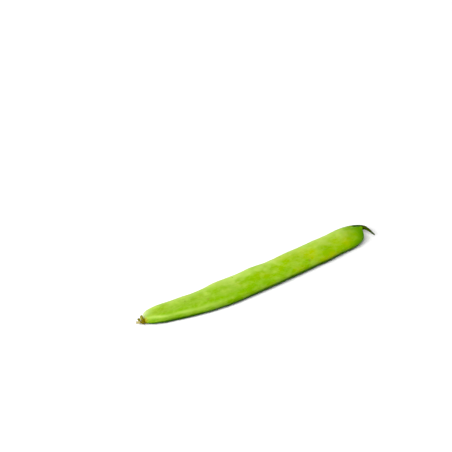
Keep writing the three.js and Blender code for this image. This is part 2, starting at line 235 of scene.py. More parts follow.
def pod_surface(t, th):
    """Points (rows, columns, 3) of the pod before it is pressed on the surface, and what shading needs."""
    V = np.stack([edge[0](t), edge[1](t)], -1)
    D = np.stack([edge[2](t), edge[3](t)], -1)
    C, W = (V + D) / 2, V - D
    L = np.linalg.norm(W, axis=1)
    a = (L / 2)[:, None]
    W = W / L[:, None]
    x = C[:, 0][:, None]
    beak = smooth(199, 201.5, x)
    b0 = half_thickness(x)
    b = b0 * (1 - beak) + np.minimum(b0, a * 0.95) * beak
    n, sag = roundness(x), hollow(x)
    nd = n + SHOULDER * smooth(2, 20, x) * (1 - smooth(186, 197, x))
    r, z0 = np.radians(roll(x)), axis_height(x)
    rib = smooth(1, 9, x) * (1 - smooth(188, 199, x))
    ct, st = np.cos(th)[None, :], np.sin(th)[None, :]
    n = np.where(ct < 0, nd, n)
    p = np.sign(ct) * np.abs(ct) ** (2 / n)
    q = np.sign(st) * np.abs(st) ** (2 / n)
    q = q * (1 - sag * bell(p, 0.5))
    A, B = p * a, q * b
    ventral = np.where(ct > 0, smooth(0.3, 0.8, ct), 0)
    dorsal = np.where(ct < 0, smooth(0.3, 0.8, -ct), 0)
    A = A + rib * ventral * (RIB_HEIGHT * bell(np.abs(B) - RIB_OFFSET, 0.45) - GROOVE_DEPTH * bell(B, 0.35))
    A = A - rib * dorsal * DORSAL_RIB * bell(B, 0.55)
    seed = 0.0
    for xs, height, length in SEEDS:
        g = height * bell(x - xs, length) * bell(p - 0.08, 0.55)
        seed = seed + g
        B = B + g * np.sign(st) * np.minimum(1, np.abs(st) * 2.2) * np.where(st > 0, 1.0, 0.55)
    off = A * np.cos(r) - B * np.sin(r)
    P = np.stack([C[:, 0][:, None] + W[:, 0][:, None] * off,
                  C[:, 1][:, None] + W[:, 1][:, None] * off,
                  z0 + A * np.sin(r) + B * np.cos(r)], -1)
    ones = np.ones_like(A)
    return P, {"x": x * ones, "p": p * ones, "q": q * ones, "B": B, "seed": seed * ones,
               "ventral": ventral * ones, "dorsal": dorsal * ones, "rib": rib * ones}


def press(z, k=REST_SOFT):
    """The underside is pressed to a flat where the pod bears on the surface."""
    return np.where(z <= -k, 0.0, np.where(z < k, (z + k) ** 2 / (4 * k), z))


def spaced_rows(count):
    t = np.linspace(0, len(OUTLINE) - 1, 6000)
    V = np.stack([edge[0](t), edge[1](t)], -1)
    D = np.stack([edge[2](t), edge[3](t)], -1)
    s = (np.linalg.norm(np.diff(V, axis=0), axis=1) + np.linalg.norm(np.diff(D, axis=0), axis=1)) / 2
    x = (V[:, 0] + D[:, 0])[1:] / 2
    s = s * (1 + 0.9 * bell(x + 1, 6) + 0.5 * bell(x - 201, 7))
    s = np.concatenate([[0], np.cumsum(s)])
    return np.interp(np.linspace(0, s[-1], count), s, t)


def spaced_columns(count):
    """Angles round the section, close together on the suture ribs and wider on the faces."""
    th = np.linspace(0, math.pi, 4000)
    a, b, n = 11.5, 4.75, 2.5
    p = np.sign(np.cos(th)) * np.abs(np.cos(th)) ** (2 / n) * a
    q = np.sin(th) ** (2 / n) * b
    step = np.hypot(np.diff(p), np.diff(q))
    pm, qm = (p[1:] + p[:-1]) / 2, (q[1:] + q[:-1]) / 2
    near_v = np.where(pm > 0, 1 - smooth(1.6, 3.2, qm), 0)
    near_d = np.where(pm < 0, 1 - smooth(1.2, 2.6, qm), 0)
    weight = 1 / (0.52 - 0.40 * near_v - 0.36 * near_d)
    s = np.concatenate([[0], np.cumsum(step * weight)])
    half = np.interp(np.linspace(0, s[-1], count // 2 + 1), s, th)
    return np.concatenate([half, 2 * math.pi - half[1:-1][::-1]])


ROWS, COLS = 690, 136
t_rows, th_cols = spaced_rows(ROWS), spaced_columns(COLS)
P, info = pod_surface(t_rows, th_cols)
N = grid_normals(P)
X, PP, QQ, BB = info["x"], info["p"], info["q"], info["B"]

# unevenness of a grown thing: broad dents, small undulations, faint nerves and a creased neck
Q3 = P * np.array([1 / 19.0, 1 / 9.0, 1 / 9.0])
body = smooth(0, 8, X) * (1 - smooth(190, 200, X))
faces_only = 1 - np.maximum(info["ventral"] * bell(BB, 2.2), info["dorsal"] * bell(BB, 1.8))
lumps = 0.16 * noise(Q3, 1) * body * faces_only
ripple = 0.045 * noise(P / np.array([6.5, 4.2, 4.2]), 2) * body * (0.35 + 0.65 * faces_only)
skin = 0.016 * noise(P / np.array([1.9, 1.5, 1.5]), 3) * (0.4 + 0.6 * body)
# short shallow furrows that lean from one suture to the other between the seeds
arc = PP * 11.5
nerve_phase = (X - 0.55 * arc) / 5.2 + 0.9 * noise(P / np.array([16.0, 10.0, 10.0]), 4)
nerves = 0.034 * (np.abs((nerve_phase % 1.0) - 0.5) * 2 - 0.5) * bell(PP, 0.75) * body
theta = np.broadcast_to(th_cols[None, :], X.shape)
crease_n = noise(np.stack([X / 5.0, 3.0 * np.cos(theta), 3.0 * np.sin(theta)], -1), 5)
crease = 0.10 * np.sin(13 * theta + 2.2 * crease_n) * bell(X + 0.5, 4.5) * smooth(-2.2, -0.6, X)
crease += 0.05 * np.sin(7 * theta + 3.0 * crease_n) * bell(X - 5, 9.0) * smooth(-1, 3, X)
beak_rib = 0.035 * np.sin(5 * theta + 2.5 * crease_n) * smooth(198, 201, X) * (1 - smooth(204.6, 205.4, X))
# the edges wave a little where the valves tighten between the seeds
edge_wave = 0.14 * noise(P / np.array([8.0, 40.0, 40.0]), 6) * (info["ventral"] + info["dorsal"]) * body
disp = lumps + ripple + skin + nerves + crease + beak_rib + edge_wave
P = P + N * disp[..., None]
# at the beak end the suture dries to a strand that stands a little proud, with a furrow before it
strand = smooth(185, 193, X) * (1 - smooth(199.4, 201.8, X)) * smooth(0.0, 0.35, QQ) * (1 + 0.25 * noise(P / np.array([4.0, 3.0, 3.0]), 17))
P[..., 2] += strand * (0.34 * bell(PP - 0.91, 0.085) - 0.50 * bell(PP - 0.70, 0.13))
P[..., 2] = press(P[..., 2])

# rounded point of the beak
last, prev = P[-1], P[-6]
mid = last.mean(0)
direction = unit(mid - prev.mean(0))
tip_rings = [mid + direction * 0.3 * math.sin(f) + (last - mid) * math.cos(f) for f in np.radians([25, 45, 62, 76])]
P = np.concatenate([P, np.stack(tip_rings)], 0)


def extend(v):
    return np.concatenate([v, np.repeat(v[-1:], len(tip_rings), 0)], 0)


from_joint = np.linalg.norm(P[:len(X)] - np.array([-1.7, -0.45, 2.95]), axis=-1)
blemish = np.zeros_like(X)
for bx, bp, size, strength in ((48.5, -0.35, 0.9, 0.5), (104.0, 0.52, 0.7, 0.45), (139.0, -0.62, 1.0, 0.55), (171.0, 0.2, 0.8, 0.4), (20.0, 0.3, 0.6, 0.35)):
    d = np.hypot((X - bx) / 1.6, (PP - bp) * 11.0)
    d = d * (1 + 0.5 * noise(P[:len(X)] / 0.9, 8))
    blemish = np.maximum(blemish, strength * (1 - smooth(size * 0.3, size, d)) * (QQ > 0))

# the suture dries and darkens where it runs out to the beak: a streak that starts as a point on the
# upper rib, widens round the section (angles in degrees from the ventral edge) and takes in the beak
turn = np.degrees(np.where(theta > math.pi, theta - 2 * math.pi, theta))
dark_top = profile([(184, 12), (186, 14), (188, 20), (189.5, 27), (190.5, 34), (192.5, 50), (194, 60), (195.5, 68), (197, 74), (198.5, 82), (199.5, 92),
    (200.3, 112), (201.2, 150), (202, 200)])
dark_low = profile([(184, 12), (186, 11), (188, 9), (190, 4), (192.5, -5), (195, -15), (197, -27), (198.5, -46), (199.5, -76), (200.3, -112),
    (201.2, -155), (202, -200)])
dark_soft = (4 + 5 * smooth(187, 194, X)) * (1 + 0.4 * noise(P[:len(X)] / np.array([2.6, 1.6, 1.6]), 13))
dark_wave = 7 * noise(P[:len(X)] / np.array([5.0, 1.0, 1.0]), 12)
dark_end = smooth(-1, 1, (dark_top(X) - turn + dark_wave) / dark_soft) * smooth(-1, 1, (turn - dark_low(X) - dark_wave) / dark_soft) * smooth(184.5, 190, X)

# fibres that run the length of the pod and follow it round into the beak
run_mm = np.concatenate([[0], np.cumsum(np.linalg.norm(np.diff(P[:len(X)].mean(1), axis=0), axis=-1))])[:, None] * np.ones_like(X)
strands = 0.5 + 0.36 * noise(np.stack([run_mm / 3.2, 2.1 * np.cos(theta), 2.1 * np.sin(theta)], -1), 19)
strands = strands + 0.26 * noise(np.stack([run_mm / 1.3, 5.0 * np.cos(theta), 5.0 * np.sin(theta)], -1), 20)

# the crest where the upper face turns down to the dorsal flank, and the mask of a painted highlight along it
crest_at = profile([(-2.3, -0.08), (1, -0.30), (3, -0.41), (6, -0.56), (12, -0.76), (20, -0.83), (34, -0.84), (80, -0.84), (206, -0.84)])
crest_width = profile([(-2.3, 0.30), (3, 0.25), (8, 0.17), (16, 0.12), (60, 0.10), (206, 0.10)])
crest_highlight = bell(PP - crest_at(X) + 0.05 * noise(P[:len(X)] / np.array([14.0, 6.0, 6.0]), 14), crest_width(X)) * smooth(-0.1, 0.25, QQ)

pod = tube_mesh("pod_skin", P, {
    "along": extend((X + 3.0) / 209.0),
    "across": extend(PP),
    "height": extend(QQ),
    "seed": extend(np.clip(info["seed"] / 0.8, 0, 1)),
    "rib": extend(info["ventral"] * info["rib"] * bell(np.abs(BB) - RIB_OFFSET, 0.6)),
    "groove": extend(info["ventral"] * info["rib"] * bell(BB, 0.3)),
    "keel": extend(info["dorsal"] * bell(BB, 0.7)),
    "neck": extend(1 - smooth(2.0, 4.3, from_joint + 1.1 * noise(P[:len(X)] / 1.7, 9))),
    "end": extend(dark_end),
    "crest_highlight": extend(crest_highlight * (1 + 0.45 * noise(P[:len(X)] / np.array([9.0, 5.0, 5.0]), 15))),
    "flank_shade": extend(smooth(0.02, 0.20, crest_at(X) - PP + 0.04 * noise(P[:len(X)] / np.array([11.0, 5.0, 5.0]), 16))),
    "beak": extend(smooth(198.8, 200.8, X + 0.5 * noise(P[:len(X)] / 0.8, 18))),
    "strands": extend(strands),
    "blemish": extend(blemish),
})
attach(pod, "root")
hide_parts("pod")

# ------------------------------------------------------------------ calyx, stalk and bracts
cup_z = unit(CUP_AXIS)
# the same turn that takes +Z to the cup's axis
_c = np.cross([0, 0, 1], cup_z)
_s, _d = np.linalg.norm(_c), cup_z[2]
_k = np.array([[0, -_c[2], _c[1]], [_c[2], 0, -_c[0]], [-_c[1], _c[0], 0]])
CUP_R = np.eye(3) + _k + _k @ _k * ((1 - _d) / _s ** 2)


def cup(v):
    return np.asarray(v) @ CUP_R.T + CUP_CENTRE


def lobes(a):
    return np.abs(np.cos(2.5 * a)) ** 1.6


def make_calyx():
    cols = 150
    a = np.linspace(0, 2 * math.pi, cols, endpoint=False)
    uneven = 1 + 0.22 * np.sin(a + 0.8) + 0.12 * np.sin(2 * a + 2.0)
    k = lobes(a) * uneven
    curl = 0.35 * np.sin(3 * a + 1.1) * k
    CI = CUP_INNER - 0.20
    # (radius, z, radius added on a lobe, z added on a lobe), from the hidden inside over the rim and back
    prof = [(0.3, 1.40, 0, 0), (CI - 0.6, 1.40, 0, 0), (CI - 0.25, 1.34, 0, 0), (CI - 0.06, 1.14, 0, 0)]
    prof += [(CI, 0.9, 0, 0), (CI + 0.03, 0.45, 0, 0), (CI + 0.12, 0.15, 0.15, 0.0)]
    prof += [(CI + 0.22, 0.02, 0.5, -0.10), (CI + 0.3, -0.04, 0.86, -0.26), (CI + 0.36, -0.03, 0.98, -0.30)]
    prof += [(CI + 0.43, 0.05, 0.92, -0.14), (CI + 0.48, 0.17, 0.76, -0.02), (CI + 0.55, 0.36, 0.46, 0.05), (CI + 0.58, 0.6, 0.24, 0.03)]
    prof += [(CI + 0.56, 0.85, 0.12, 0), (CI + 0.49, 1.1, 0.05, 0), (CI + 0.38, 1.35, 0, 0), (CI + 0.22, 1.62, 0, 0)]
    prof += [(CI + 0.02, 1.88, 0, 0), (CI - 0.14, 2.08, 0, 0), (CI - 0.26, 2.24, 0, 0), (CI - 0.34, 2.38, 0, 0)]
    prof += [(CI - 0.40, CUP_LENGTH, 0, 0), (CI - 0.48, CUP_LENGTH + 0.1, 0, 0), (0.3, CUP_LENGTH + 0.12, 0, 0)]
    prof = np.array(prof)
    # refine the profile
    s = np.arange(len(prof))
    fine = np.linspace(0, len(prof) - 1, 84)
    spl = [natural_spline(prof[:, j]) for j in range(4)]
    rr, zz, dr, dz = (f(fine)[:, None] for f in spl)
    radius = rr + dr * k[None, :]
    z = zz + dz * k[None, :]
    Pc = np.stack([radius * np.cos(a), radius * np.sin(a), z * np.ones_like(radius)], -1)
    Nn = grid_normals(Pc)
    outer = smooth(9, 12, fine)[:, None]
    veins = 0.055 * np.abs(np.cos(5 * a + 0.4 * noise(Pc / 1.1, 21))) ** 3 * outer * smooth(24, 18, fine)[:, None]
    fine_veins = 0.022 * np.sin(31 * a + 2.0 * noise(Pc / 0.8, 22)) * outer
    shrivel = 0.09 * noise(Pc / 0.75, 23) * outer + 0.035 * noise(Pc / 0.3, 24) * (0.4 + 0.6 * outer)
    Pc = Pc + Nn * (veins + fine_veins + shrivel)[..., None]
    # lobes curl: their tips lift off the pod unevenly
    tip = np.clip(dr / 1.12, 0, 1) * k[None, :]
    Pc[..., 2] += tip ** 2 * curl[None, :] * 0.9 * np.where(curl[None, :] > 0, 1, 0.15)
    world = cup(Pc)
    return tube_mesh("calyx_cup", world, {
        "tip": tip, "base": smooth(1.2, 2.6, Pc[..., 2]), "inside": (1 - outer) * np.ones_like(radius)})


calyx = make_calyx()
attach(calyx, "root")
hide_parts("calyx")

stalk_z = unit(STALK_AXIS)
stalk_side = unit(np.cross([0, 0, 1], stalk_z))
stalk_up = np.cross(stalk_z, stalk_side)
stalk_base = cup(np.array([[0.0, 0.0, CUP_LENGTH + 0.35]]))[0]


def make_pedicel():
    cols = 96
    a = np.linspace(0, 2 * math.pi, cols, endpoint=False)
    s = np.concatenate([np.linspace(-0.25, STALK_LENGTH, 70)])
    rad = np.interp(s, [-0.25, 0.0, 0.35, 1.0, 1.7, 2.4, STALK_LENGTH], [0.72, 0.86, 1.02, 0.97, 0.92, 0.96, 1.04])
    rows = []
    for si, ri in zip(s, rad):
        f = max(0.0, (si - 2.1) / (STALK_LENGTH - 2.1))
        ridge = 0.05 * np.cos(5 * a + 0.5) + 0.022 * np.cos(13 * a + 1.5 * si) + 0.012 * np.cos(27 * a)
        # torn end: fibres of uneven length
        tear = f ** 2 * (0.28 * np.cos(a + 0.4) + 0.16 * np.sin(4 * a + 1) + 0.10 * np.sin(9 * a + 2) + 0.05 * np.sin(23 * a))
        r = ri * (1 + ridge)
        bend = -0.05 * si * si
        c = stalk_base + stalk_side * bend
        rows.append(c + np.outer(si + tear, stalk_z) + np.outer(r * np.cos(a), stalk_side) + np.outer(r * 0.92 * np.sin(a), stalk_up))
    # the break: the rim turns in to a shallow, ragged hollow with pith in it
    rim = rows[-1]
    centre = rim.mean(0)
    for f, depth in ((0.93, 0.03), (0.84, -0.02), (0.72, -0.16), (0.55, -0.22), (0.4, -0.14), (0.25, -0.1), (0.12, -0.12)):
        ragged = 0.05 * np.sin(7 * a + 9 * f) + 0.04 * np.sin(17 * a - 5 * f)
        level = centre + stalk_z * (depth - 0.05)
        target = centre + (rim - centre) * f
        keep = f ** 3
        flat = target - np.outer((target - level) @ stalk_z, stalk_z) * (1 - keep)
        rows.append(flat + np.outer(ragged * (1 - f) * 1.3, stalk_z))
    Pc = np.stack(rows)
    Nn = grid_normals(Pc)
    skin_part = np.ones(len(rows))
    skin_part[70:] = 0.0
    Pc = Pc + Nn * (0.04 * noise(Pc / np.array([1.6, 0.5, 0.5]), 31) * skin_part[:, None])[..., None]
    broken = np.repeat((1 - skin_part)[:, None], cols, 1)
    run = np.repeat(np.clip(np.concatenate([s, np.full(7, STALK_LENGTH)]) / STALK_LENGTH, 0, 1)[:, None], cols, 1)
    return tube_mesh("pedicel_stub", Pc, {"broken": broken, "run": run})


pedicel = make_pedicel()
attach(pedicel, "root")
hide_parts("pedicel")


def make_bract(name, base, tip, bow, width, thickness, twist, curl, seed):
    base, tip, bow = (np.asarray(v, float) for v in (base, tip, bow))
    along = tip - base
    flat = np.array([math.cos(twist), math.sin(twist), 0.0])
    flat = unit(flat - along * (flat @ along) / (along @ along))
    face = np.cross(unit(along), flat)
    rows, cols = 70, 64
    s = np.linspace(0, 1, rows)
    w = np.interp(s, [0, 0.12, 0.3, 0.5, 0.7, 0.85, 0.95, 1.0], [0.40, 0.66, 0.95, 1.0, 0.78, 0.48, 0.22, 0.05])
    a = np.linspace(0, 2 * math.pi, cols, endpoint=False)
    ca, sa = np.cos(a), np.sin(a)
    out = []
    for si, wi in zip(s, w):
        u = wi * width / 2 * np.sign(ca) * np.abs(ca) ** 0.9
        th = thickness / 2 * (0.5 + 0.5 * wi) * sa * (0.55 + 0.45 * (1 - np.abs(ca)))
        roll_up = curl * (u / (width / 2)) ** 2 * (0.4 + 0.6 * si) * width * 0.5
        wav = 0.10 * np.sin(9 * si + 3.0 * np.sign(ca) + seed) * np.abs(ca) ** 2 * wi
        c = base + along * si + bow * math.sin(math.pi * si)
        out.append(c + np.outer(u, flat) + np.outer(th + roll_up + wav, face))
    Pc = np.stack(out)
    Nn = grid_normals(Pc)
    u_rel = np.repeat(ca[None, :], rows, 0)
    veins = 0.028 * np.cos(11 * u_rel) * np.abs(sa)[None, :] + 0.05 * bell(u_rel, 0.16) * np.abs(sa)[None, :]
    dry = 0.05 * noise(Pc / 0.6, 40 + seed) + 0.02 * noise(Pc / 0.22, 41 + seed)
    Pc = Pc + Nn * ((veins + dry) * (1 - smooth(0.9, 1.0, s))[:, None])[..., None]
    return tube_mesh(name, Pc, {"run": np.repeat(s[:, None], cols, 1), "edge": np.abs(u_rel) ** 3})


bracts = []
for args in (
    ("bract_upper", cup(np.array([[1.6 * math.cos(0.3), 1.6 * math.sin(0.3), 1.5]]))[0], (-2.0, 2.7, 7.4), (0.15, 0.0, 0.0), 2.5, 0.40, -0.35, 0.4, 1),
    ("bract_rear", cup(np.array([[0.95 * math.cos(0.95), 0.95 * math.sin(0.95), 2.35]]))[0], (-5.6, 1.9, 5.8), (0.1, 0.2, 0.3), 2.2, 0.42, 0.3, 0.35, 2),
):
    b = make_bract(*args)
    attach(b, "root")
    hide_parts("bracteole_upper" if args[0] == "bract_upper" else "bracteole_rear")
    bracts.append(b)


# ------------------------------------------------------------------ materials
class Nodes:
    """A small helper that makes and links shader nodes."""

    def __init__(self, name):
        self.mat = bpy.data.materials.new(name)
        self.mat.use_nodes = True
        self.tree = self.mat.node_tree
        self.tree.nodes.clear()
        self.out = self.new("ShaderNodeOutputMaterial")
        self.bsdf = self.new("ShaderNodeBsdfPrincipled")
        self.link(self.bsdf.outputs["BSDF"], self.out.inputs["Surface"])

    def new(self, kind, **props):
        n = self.tree.nodes.new(kind)
        for k, v in props.items():
            setattr(n, k, v)
        return n

    def link(self, a, b):
        self.tree.links.new(a, b)

    def put(self, socket, value):
        if hasattr(value, "is_output") or isinstance(value, bpy.types.NodeSocket):
            self.link(value, socket)
        else:
            socket.default_value = value

    def attr(self, name):
        return self.new("ShaderNodeAttribute", attribute_name=name).outputs["Fac"]

    def coords(self, scale=(1, 1, 1), rotation=(0, 0, 0), place=(0, 0, 0)):
        tc = self.new("ShaderNodeTexCoord")
        mp = self.new("ShaderNodeMapping")
        mp.inputs["Scale"].default_value = scale
        mp.inputs["Rotation"].default_value = rotation
        mp.inputs["Location"].default_value = place
        self.link(tc.outputs["Object"], mp.inputs["Vector"])
        return mp.outputs["Vector"]

    def noise(self, vector, scale, detail=3.0, rough=0.55, distort=0.0):
        n = self.new("ShaderNodeTexNoise")
        self.link(vector, n.inputs["Vector"])
        n.inputs["Scale"].default_value = scale
        n.inputs["Detail"].default_value = detail
        n.inputs["Roughness"].default_value = rough
        n.inputs["Distortion"].default_value = distort
        return n.outputs["Fac"]

    def voronoi(self, vector, scale, feature="F1", randomness=1.0):
        n = self.new("ShaderNodeTexVoronoi", feature=feature)
        self.link(vector, n.inputs["Vector"])
        n.inputs["Scale"].default_value = scale
        n.inputs["Randomness"].default_value = randomness
        return n.outputs["Distance"]

    def warped(self, vector, scale, amount):
        n = self.new("ShaderNodeTexNoise")
        self.link(vector, n.inputs["Vector"])
        n.inputs["Scale"].default_value = scale
        n.inputs["Detail"].default_value = 2.0
        v = self.new("ShaderNodeVectorMath", operation="MULTIPLY_ADD")
        self.link(n.outputs["Color"], v.inputs[0])
        v.inputs[1].default_value = (amount, amount, amount)
        self.link(vector, v.inputs[2])
        return v.outputs["Vector"]

    def math(self, op, a, b=0.5, clamp=False):
        n = self.new("ShaderNodeMath", operation=op, use_clamp=clamp)
        self.put(n.inputs[0], a)
        self.put(n.inputs[1], b)
        return n.outputs[0]

    def remap(self, v, a, b, c, d, smoothly=True):
        n = self.new("ShaderNodeMapRange", interpolation_type="SMOOTHSTEP" if smoothly else "LINEAR")
        self.put(n.inputs["Value"], v)
        n.inputs["From Min"].default_value = a
        n.inputs["From Max"].default_value = b
        n.inputs["To Min"].default_value = c
        n.inputs["To Max"].default_value = d
        return n.outputs["Result"]

    def ramp(self, fac, stops, mode="EASE"):
        n = self.new("ShaderNodeValToRGB")
        n.color_ramp.interpolation = mode
        els = n.color_ramp.elements
        while len(els) > 1:
            els.remove(els[-1])
        els[0].position, els[0].color = stops[0][0], (*stops[0][1], 1)
        for pos, col in stops[1:]:
            els.new(pos).color = (*col, 1)
        self.put(n.inputs["Fac"], fac)
        return n.outputs["Color"]

    def mix(self, fac, a, b, mode="MIX"):
        n = self.new("ShaderNodeMix", data_type="RGBA", blend_type=mode)
        self.put(n.inputs[0], fac)
        for socket, value in ((n.inputs[6], a), (n.inputs[7], b)):
            if isinstance(value, tuple):
                value = (*value, 1)
            self.put(socket, value)
        return n.outputs[2]

    def bump(self, height, distance, strength=1.0, normal=None):
        n = self.new("ShaderNodeBump")
        n.inputs["Distance"].default_value = distance
        n.inputs["Strength"].default_value = strength
        self.link(height, n.inputs["Height"])
        if normal is not None:
            self.link(normal, n.inputs["Normal"])
        return n.outputs["Normal"]


def fresh_skin():
    m = Nodes("fresh_bean_skin")
    along, across, height = m.attr("along"), m.attr("across"), m.attr("height")
    seed, rib, groove, keel = m.attr("seed"), m.attr("rib"), m.attr("groove"), m.attr("keel")
    neck, beak, end, blemish, crest_highlight = m.attr("neck"), m.attr("beak"), m.attr("end"), m.attr("blemish"), m.attr("crest_highlight")
    flank_shade = m.attr("flank_shade")
    even = m.coords()
    broad = m.noise(even, 42, 2.0, 0.5)
    patch_a = m.noise(m.coords((0.62, 1, 1), (0, 0, 0.55)), 120, 1.5, 0.5, 0.2)
    patch_b = m.noise(m.coords((0.75, 1, 1), (0, 0, 0.75), (3, 1, 2)), 205, 2.0, 0.5, 0.2)
    patch_c = m.noise(m.coords((0.6, 1, 1), (0, 0, 0.4), (7, 5, 1)), 150, 1.5, 0.5, 0.2)
    patch_d = m.noise(m.coords((0.7, 1, 1), (0, 0, 0.6), (1, 8, 3)), 330, 2.0, 0.5, 0.2)
    warm = m.noise(m.coords((0.8, 1, 1), (0, 0, 0), (2, 9, 4)), 75, 1.5, 0.5)
    grain = m.noise(even, 900, 3.0, 0.6)
    fibre = m.noise(m.coords((0.06, 1, 1)), 1500, 2.0, 0.5)

    place = m.math("ADD", along, m.math("MULTIPLY", m.math("SUBTRACT", broad, 0.5), 0.14))
    base = m.ramp(place, [
        (0.00, (0.142, 0.250, 0.019)),
        (0.14, (0.131, 0.246, 0.010)),
        (0.40, (0.142, 0.270, 0.005)),
        (0.62, (0.166, 0.290, 0.002)),
        (0.85, (0.186, 0.298, 0.001)),
        (0.90, (0.168, 0.288, 0.002)),
        (0.945, (0.095, 0.225, 0.002)),
        (1.00, (0.050, 0.140, 0.003)),
    ])
    # paler towards the ventral suture, partly the skin's own tone and partly a painted sheen; greener and darker
    # towards the dorsal side, on the flanks and underside, which is painted shade
    rim = m.math("ADD", across, m.math("MULTIPLY", m.math("SUBTRACT", patch_a, 0.5), 0.9))
    rim_pale_and_sheen = m.ramp(along, [(0.0, (0.62, 0.62, 0.62)), (0.20, (0.66, 0.66, 0.66)), (0.36, (0.98, 0.98, 0.98)), (0.50, (0.78, 0.78, 0.78)), (0.82, (0.54, 0.54, 0.54)), (0.905, (0.14, 0.14, 0.14)), (0.935, (0, 0, 0))])
    base = m.mix(m.math("MULTIPLY", m.remap(rim, -0.05, 0.95, 0, 1), rim_pale_and_sheen), base, (0.326, 0.436, 0.086))
    # painted shade: greener and darker towards the dorsal side and down the flank, most near the stem end
    base = m.mix(m.remap(across, -0.25, -0.85, 0, 0.55), base, (0.125, 0.295, 0.001))
    base = m.mix(m.math("MULTIPLY", flank_shade, m.remap(along, 0.45, 0.20, 0.12, 0.50)), base, (0.085, 0.235, 0.003))
    base = m.mix(m.math("MULTIPLY", flank_shade, m.remap(along, 0.15, 0.03, 0, 0.60)), base, (0.078, 0.165, 0.003))
    # how far a point lies under the pod, for the painted shade on the underside
    under_shade_level = m.math("ADD", height, m.math("MULTIPLY", across, 0.35))
    turn_under = m.ramp(along, [(p, (v, v, v)) for p, v in ((0.14, 0.22), (0.24, 0.29), (0.36, 0.28), (0.48, 0.08), (0.58, 0.03), (0.80, 0.03), (0.90, 0.12))])
    under_shade_level = m.math("SUBTRACT", m.math("ADD", under_shade_level, turn_under), 0.10)
    # patches: pale ones, deep green ones, yellow ones, and a warm flush on the last third
    calm = m.remap(along, 0.12, 0.40, 0.50, 1.0)
    upper = m.math("MULTIPLY", m.remap(across, -0.60, 0.45, 0.45, 1.0), calm)
    lower = m.math("MULTIPLY", m.remap(across, 0.35, -0.55, 0.40, 1.0), calm)
    base = m.mix(m.math("MULTIPLY", m.remap(patch_a, 0.40, 0.70, 0, 0.54), upper), base, (0.295, 0.395, 0.078))
    base = m.mix(m.math("MULTIPLY", m.remap(patch_b, 0.44, 0.70, 0, 0.50), upper), base, (0.310, 0.405, 0.075))
    base = m.mix(m.math("MULTIPLY", m.remap(patch_c, 0.42, 0.70, 0, 0.60), lower), base, (0.100, 0.255, 0.001))
    base = m.mix(m.remap(patch_d, 0.47, 0.72, 0, 0.24), base, (0.290, 0.410, 0.045))
    flush = m.math("MULTIPLY", m.remap(warm, 0.48, 0.72, 0, 0.55), m.remap(along, 0.35, 0.75, 0.30, 1.0))
    base = m.mix(flush, base, (0.275, 0.305, 0.003))
    base = m.mix(m.math("MULTIPLY", seed, 0.14), base, (0.250, 0.380, 0.012))
    base = m.mix(m.remap(grain, 0.38, 0.72, 0, 0.14), base, (0.270, 0.410, 0.020))
    base = m.mix(m.remap(fibre, 0.50, 0.78, 0, 0.12), base, (0.120, 0.260, 0.004))
    # a faint net of paler veins that slants away from the ventral suture
    web = m.voronoi(m.warped(m.coords((0.42, 1, 1), (0, 0, 0.6)), 230, 0.0042), 330, "DISTANCE_TO_EDGE")
    veins = m.math("MULTIPLY", m.remap(web, 0.0, 0.15, 1.0, 0.0), m.remap(broad, 0.35, 0.65, 0.06, 0.17))
    base = m.mix(veins, base, (0.285, 0.415, 0.050))
    # deep green over the last stretch before the beak, with the last stops of the ramp above: partly the skin's own
    # tone and partly painted shade where the end turns away from the lamps
    base = m.mix(m.remap(place, 0.872, 0.945, 0, 0.92), base, (0.066, 0.200, 0.001))
    # painted light: a lighter green on the end cap, where it turns away from the lamps
    base = m.mix(m.remap(along, 0.948, 0.966, 0, 0.70), base, (0.160, 0.370, 0.008))
    # a painted highlight along the crest over the first half, and a painted pale highlight on the shoulder at the stem
    # end
    base = m.mix(m.math("MULTIPLY", crest_highlight, m.remap(along, 0.42, 0.10, 0, 0.68), clamp=True), base, (0.262, 0.385, 0.060))
    # painted highlight: a pale cream sheen on the shoulder at the stem end
    shoulder_highlight = m.math("MULTIPLY", m.remap(along, 0.058, 0.006, 0, 0.85), m.remap(across, -0.25, 0.65, 0, 1))
    base = m.mix(shoulder_highlight, base, (0.335, 0.370, 0.200))
    base = m.mix(m.math("MULTIPLY", crest_highlight, m.remap(along, 0.13, 0.02, 0, 0.30), clamp=True), base, (0.310, 0.415, 0.092))
    # painted shade: the underside and lower flank darkened to a deep green, fading back on the face the pod rests on
    # and towards the beak end
    painted_under_shade = m.math("MULTIPLY", m.remap(under_shade_level, 0.05, -0.40, 0, 0.97), m.remap(along, 0.905, 0.945, 1.0, 0.12))
    painted_under_shade = m.math("MULTIPLY", painted_under_shade, m.remap(height, -0.84, -0.98, 1.0, 0.55))
    base = m.mix(painted_under_shade, base, (0.013, 0.058, 0.001))
    # pale sutures, with a darker line between the twin ribs
    base = m.mix(m.math("MULTIPLY", rib, 0.60), base, (0.360, 0.490, 0.095))
    base = m.mix(m.math("MULTIPLY", keel, 0.25), base, (0.070, 0.190, 0.004))
    base = m.mix(m.math("MULTIPLY", groove, 0.50), base, (0.085, 0.200, 0.010))
    # tiny pale pores and a few dark flecks
    base = m.mix(m.remap(m.voronoi(even, 620), 0.0, 0.22, 0.26, 0.0), base, (0.330, 0.460, 0.080))
    base = m.mix(m.remap(m.voronoi(m.coords((1, 1, 1), (0.3, 0.2, 0.5), (1, 4, 2)), 88), 0.020, 0.062, 0.75, 0.0), base, (0.075, 0.110, 0.008))
    base = m.mix(blemish, base, (0.190, 0.130, 0.028))
